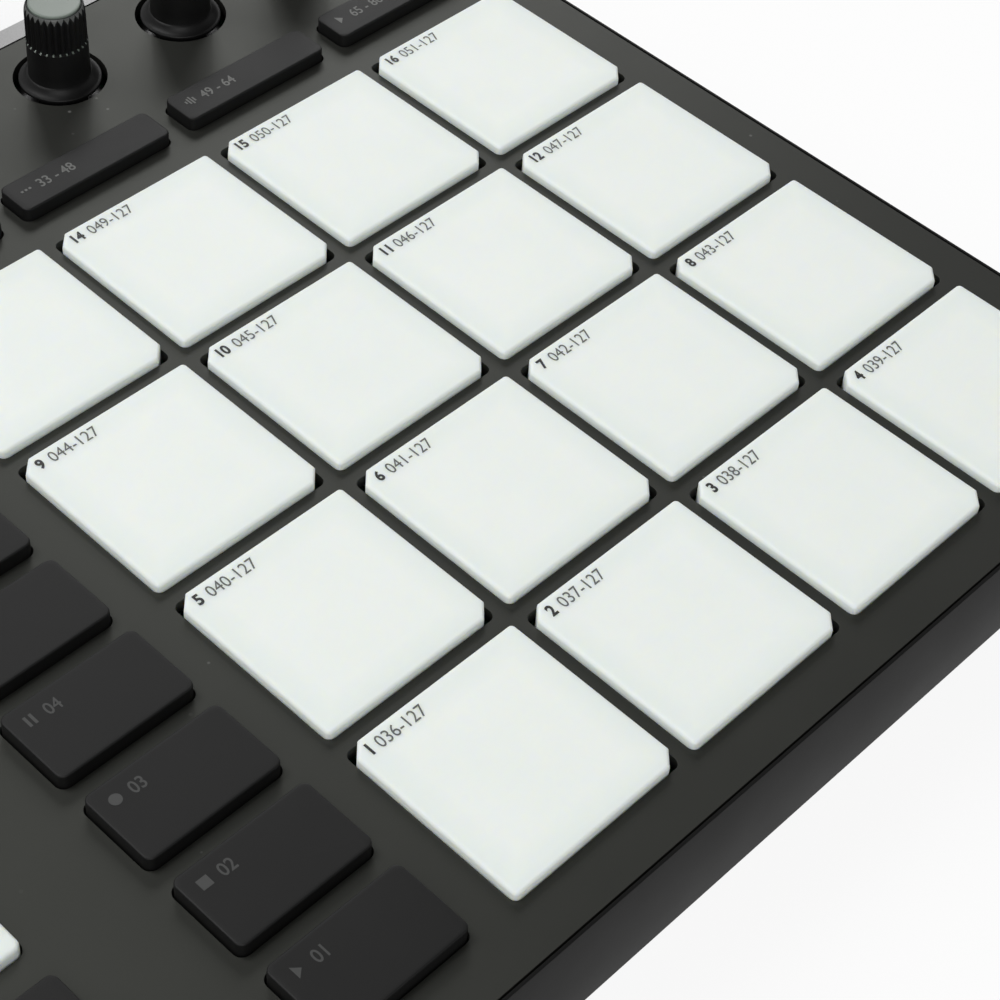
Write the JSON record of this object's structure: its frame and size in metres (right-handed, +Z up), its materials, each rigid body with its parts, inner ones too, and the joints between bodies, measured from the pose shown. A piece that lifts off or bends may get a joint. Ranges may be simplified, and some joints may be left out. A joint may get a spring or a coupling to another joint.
{
  "type": "drum machine",
  "caption": "Flat desktop drum machine with a square grid of soft pads, key banks, encoder knobs, a touch strip and a display window.",
  "frame": {"origin": "on the table, under the middle of the case", "axes": "+X to the player's right, +Y to the back with the sockets, +Z up"},
  "size_m": [0.32, 0.302, 0.041],
  "materials": {
    "case": "fine moulded grain, satin black",
    "plate": "powder-coated steel sheet",
    "panel": "satin black anodised face plate",
    "glass": "polished dark display glass",
    "screen": "dark display module",
    "strip": "smooth satin black touch strip",
    "board": "glass-fibre circuit board with solder mask",
    "metal": "plated steel",
    "socket": "black moulded connector",
    "foot": "soft black rubber",
    "screw": "blackened steel",
    "key": "soft-touch black key cap",
    "pad": "milky translucent silicone",
    "knob": "black ridged knob with a light cap"
  },
  "bodies": {
    "body": {"case_frame": "case", "bottom_plate": "plate", "top_panel": "panel", "display_glass": "glass", "display_modules": "screen", "touch_strip": "strip", "control_board": "board", "pad_sensor_boards": "board", "main_board": "board", "encoder_bodies": "metal", "jack_sockets": "socket", "midi_sockets": "socket", "usb_and_power_sockets": "socket", "rubber_feet": "foot", "base_screws": "screw"},
    "pad_01": {"pad_01": "pad"},
    "pad_02": {"pad_02": "pad"},
    "pad_03": {"pad_03": "pad"},
    "pad_04": {"pad_04": "pad"},
    "pad_05": {"pad_05": "pad"},
    "pad_06": {"pad_06": "pad"},
    "pad_07": {"pad_07": "pad"},
    "pad_08": {"pad_08": "pad"},
    "pad_09": {"pad_09": "pad"},
    "pad_10": {"pad_10": "pad"},
    "pad_11": {"pad_11": "pad"},
    "pad_12": {"pad_12": "pad"},
    "pad_13": {"pad_13": "pad"},
    "pad_14": {"pad_14": "pad"},
    "pad_15": {"pad_15": "pad"},
    "pad_16": {"pad_16": "pad"},
    "side_key_1": {"side_key_1": "key"},
    "side_key_2": {"side_key_2": "key"},
    "side_key_3": {"side_key_3": "key"},
    "side_key_4": {"side_key_4": "key"},
    "side_key_5": {"side_key_5": "key"},
    "side_key_6": {"side_key_6": "key"},
    "side_key_7": {"side_key_7": "key"},
    "side_key_8": {"side_key_8": "key"},
    "mode_key_1": {"mode_key_1": "key"},
    "mode_key_2": {"mode_key_2": "key"},
    "mode_key_3": {"mode_key_3": "key"},
    "mode_key_4": {"mode_key_4": "key"},
    "mode_key_5": {"mode_key_5": "key"},
    "transport_keys": {"transport_keys": "key"},
    "perform_keys": {"perform_keys": "key"},
    "control_keys": {"control_keys": "key"},
    "display_keys": {"display_keys": "key"},
    "group_pads": {"group_pads": "pad"},
    "knob_1": {"knob_1": "knob"},
    "knob_2": {"knob_2": "knob"},
    "knob_3": {"knob_3": "knob"},
    "knob_4": {"knob_4": "knob"},
    "knob_5": {"knob_5": "knob"},
    "knob_6": {"knob_6": "knob"},
    "knob_7": {"knob_7": "knob"},
    "knob_8": {"knob_8": "knob"},
    "master_plunger": {"master_plunger": "metal"},
    "master_knob": {"master_knob": "knob"},
    "power_button": {"power_button": "key"}
  },
  "joints": [
    {"name": "pad_01_press", "type": "slide", "parent": "body", "child": "pad_01", "axis": [0, 0, -1], "range_m": [0, 0.0008], "stiffness_N_per_m": 800, "springref_m": -0.0006},
    {"name": "pad_02_press", "type": "slide", "parent": "body", "child": "pad_02", "axis": [0, 0, -1], "range_m": [0, 0.0008], "stiffness_N_per_m": 800, "springref_m": -0.0006},
    {"name": "pad_03_press", "type": "slide", "parent": "body", "child": "pad_03", "axis": [0, 0, -1], "range_m": [0, 0.0008], "stiffness_N_per_m": 800, "springref_m": -0.0006},
    {"name": "pad_04_press", "type": "slide", "parent": "body", "child": "pad_04", "axis": [0, 0, -1], "range_m": [0, 0.0008], "stiffness_N_per_m": 800, "springref_m": -0.0006},
    {"name": "pad_05_press", "type": "slide", "parent": "body", "child": "pad_05", "axis": [0, 0, -1], "range_m": [0, 0.0008], "stiffness_N_per_m": 800, "springref_m": -0.0006},
    {"name": "pad_06_press", "type": "slide", "parent": "body", "child": "pad_06", "axis": [0, 0, -1], "range_m": [0, 0.0008], "stiffness_N_per_m": 800, "springref_m": -0.0006},
    {"name": "pad_07_press", "type": "slide", "parent": "body", "child": "pad_07", "axis": [0, 0, -1], "range_m": [0, 0.0008], "stiffness_N_per_m": 800, "springref_m": -0.0006},
    {"name": "pad_08_press", "type": "slide", "parent": "body", "child": "pad_08", "axis": [0, 0, -1], "range_m": [0, 0.0008], "stiffness_N_per_m": 800, "springref_m": -0.0006},
    {"name": "pad_09_press", "type": "slide", "parent": "body", "child": "pad_09", "axis": [0, 0, -1], "range_m": [0, 0.0008], "stiffness_N_per_m": 800, "springref_m": -0.0006},
    {"name": "pad_10_press", "type": "slide", "parent": "body", "child": "pad_10", "axis": [0, 0, -1], "range_m": [0, 0.0008], "stiffness_N_per_m": 800, "springref_m": -0.0006},
    {"name": "pad_11_press", "type": "slide", "parent": "body", "child": "pad_11", "axis": [0, 0, -1], "range_m": [0, 0.0008], "stiffness_N_per_m": 800, "springref_m": -0.0006},
    {"name": "pad_12_press", "type": "slide", "parent": "body", "child": "pad_12", "axis": [0, 0, -1], "range_m": [0, 0.0008], "stiffness_N_per_m": 800, "springref_m": -0.0006},
    {"name": "pad_13_press", "type": "slide", "parent": "body", "child": "pad_13", "axis": [0, 0, -1], "range_m": [0, 0.0008], "stiffness_N_per_m": 800, "springref_m": -0.0006},
    {"name": "pad_14_press", "type": "slide", "parent": "body", "child": "pad_14", "axis": [0, 0, -1], "range_m": [0, 0.0008], "stiffness_N_per_m": 800, "springref_m": -0.0006},
    {"name": "pad_15_press", "type": "slide", "parent": "body", "child": "pad_15", "axis": [0, 0, -1], "range_m": [0, 0.0008], "stiffness_N_per_m": 800, "springref_m": -0.0006},
    {"name": "pad_16_press", "type": "slide", "parent": "body", "child": "pad_16", "axis": [0, 0, -1], "range_m": [0, 0.0008], "stiffness_N_per_m": 800, "springref_m": -0.0006},
    {"name": "side_key_1_press", "type": "slide", "parent": "body", "child": "side_key_1", "axis": [0, 0, -1], "range_m": [0, 0.0008], "stiffness_N_per_m": 600, "springref_m": -0.0006},
    {"name": "side_key_2_press", "type": "slide", "parent": "body", "child": "side_key_2", "axis": [0, 0, -1], "range_m": [0, 0.0008], "stiffness_N_per_m": 600, "springref_m": -0.0006},
    {"name": "side_key_3_press", "type": "slide", "parent": "body", "child": "side_key_3", "axis": [0, 0, -1], "range_m": [0, 0.0008], "stiffness_N_per_m": 600, "springref_m": -0.0006},
    {"name": "side_key_4_press", "type": "slide", "parent": "body", "child": "side_key_4", "axis": [0, 0, -1], "range_m": [0, 0.0008], "stiffness_N_per_m": 600, "springref_m": -0.0006},
    {"name": "side_key_5_press", "type": "slide", "parent": "body", "child": "side_key_5", "axis": [0, 0, -1], "range_m": [0, 0.0008], "stiffness_N_per_m": 600, "springref_m": -0.0006},
    {"name": "side_key_6_press", "type": "slide", "parent": "body", "child": "side_key_6", "axis": [0, 0, -1], "range_m": [0, 0.0008], "stiffness_N_per_m": 600, "springref_m": -0.0006},
    {"name": "side_key_7_press", "type": "slide", "parent": "body", "child": "side_key_7", "axis": [0, 0, -1], "range_m": [0, 0.0008], "stiffness_N_per_m": 600, "springref_m": -0.0006},
    {"name": "side_key_8_press", "type": "slide", "parent": "body", "child": "side_key_8", "axis": [0, 0, -1], "range_m": [0, 0.0008], "stiffness_N_per_m": 600, "springref_m": -0.0006},
    {"name": "mode_key_1_press", "type": "slide", "parent": "body", "child": "mode_key_1", "axis": [0, 0, -1], "range_m": [0, 0.0008], "stiffness_N_per_m": 600, "springref_m": -0.0006},
    {"name": "mode_key_2_press", "type": "slide", "parent": "body", "child": "mode_key_2", "axis": [0, 0, -1], "range_m": [0, 0.0008], "stiffness_N_per_m": 600, "springref_m": -0.0006},
    {"name": "mode_key_3_press", "type": "slide", "parent": "body", "child": "mode_key_3", "axis": [0, 0, -1], "range_m": [0, 0.0008], "stiffness_N_per_m": 600, "springref_m": -0.0006},
    {"name": "mode_key_4_press", "type": "slide", "parent": "body", "child": "mode_key_4", "axis": [0, 0, -1], "range_m": [0, 0.0008], "stiffness_N_per_m": 600, "springref_m": -0.0006},
    {"name": "mode_key_5_press", "type": "slide", "parent": "body", "child": "mode_key_5", "axis": [0, 0, -1], "range_m": [0, 0.0008], "stiffness_N_per_m": 600, "springref_m": -0.0006},
    {"name": "transport_keys_press", "type": "slide", "parent": "body", "child": "transport_keys", "axis": [0, 0, -1], "range_m": [0, 0.0008], "stiffness_N_per_m": 1500, "springref_m": -0.0006},
    {"name": "perform_keys_press", "type": "slide", "parent": "body", "child": "perform_keys", "axis": [0, 0, -1], "range_m": [0, 0.0008], "stiffness_N_per_m": 1500, "springref_m": -0.0006},
    {"name": "control_keys_press", "type": "slide", "parent": "body", "child": "control_keys", "axis": [0, 0, -1], "range_m": [0, 0.0008], "stiffness_N_per_m": 1500, "springref_m": -0.0006},
    {"name": "display_keys_press", "type": "slide", "parent": "body", "child": "display_keys", "axis": [0, 0, -1], "range_m": [0, 0.0008], "stiffness_N_per_m": 1500, "springref_m": -0.0006},
    {"name": "group_pads_press", "type": "slide", "parent": "body", "child": "group_pads", "axis": [0, 0, -1], "range_m": [0, 0.0008], "stiffness_N_per_m": 1500, "springref_m": -0.0006},
    {"name": "knob_1_turn", "type": "hinge", "parent": "body", "child": "knob_1", "pos_m": [-0.04593, 0.018, 0.0263], "axis": [0, 0, 1], "continuous": true},
    {"name": "knob_2_turn", "type": "hinge", "parent": "body", "child": "knob_2", "pos_m": [-0.02035, 0.018, 0.0263], "axis": [0, 0, 1], "continuous": true},
    {"name": "knob_3_turn", "type": "hinge", "parent": "body", "child": "knob_3", "pos_m": [0.00522, 0.018, 0.0263], "axis": [0, 0, 1], "continuous": true},
    {"name": "knob_4_turn", "type": "hinge", "parent": "body", "child": "knob_4", "pos_m": [0.0308, 0.018, 0.0263], "axis": [0, 0, 1], "continuous": true},
    {"name": "knob_5_turn", "type": "hinge", "parent": "body", "child": "knob_5", "pos_m": [0.05638, 0.018, 0.0263], "axis": [0, 0, 1], "continuous": true},
    {"name": "knob_6_turn", "type": "hinge", "parent": "body", "child": "knob_6", "pos_m": [0.08195, 0.018, 0.0263], "axis": [0, 0, 1], "continuous": true},
    {"name": "knob_7_turn", "type": "hinge", "parent": "body", "child": "knob_7", "pos_m": [0.10752, 0.018, 0.0263], "axis": [0, 0, 1], "continuous": true},
    {"name": "knob_8_turn", "type": "hinge", "parent": "body", "child": "knob_8", "pos_m": [0.1331, 0.018, 0.0263], "axis": [0, 0, 1], "continuous": true},
    {"name": "master_press", "type": "slide", "parent": "body", "child": "master_plunger", "axis": [0, 0, -1], "range_m": [0, 0.0008], "stiffness_N_per_m": 1500, "springref_m": -0.0006},
    {"name": "master_turn", "type": "hinge", "parent": "master_plunger", "child": "master_knob", "pos_m": [-0.066, -0.0045, 0.0263], "axis": [0, 0, 1], "continuous": true},
    {"name": "power_button_press", "type": "slide", "parent": "body", "child": "power_button", "axis": [0, -1, 0], "range_m": [0, 0.001], "stiffness_N_per_m": 600, "springref_m": -0.0006}
  ]
}
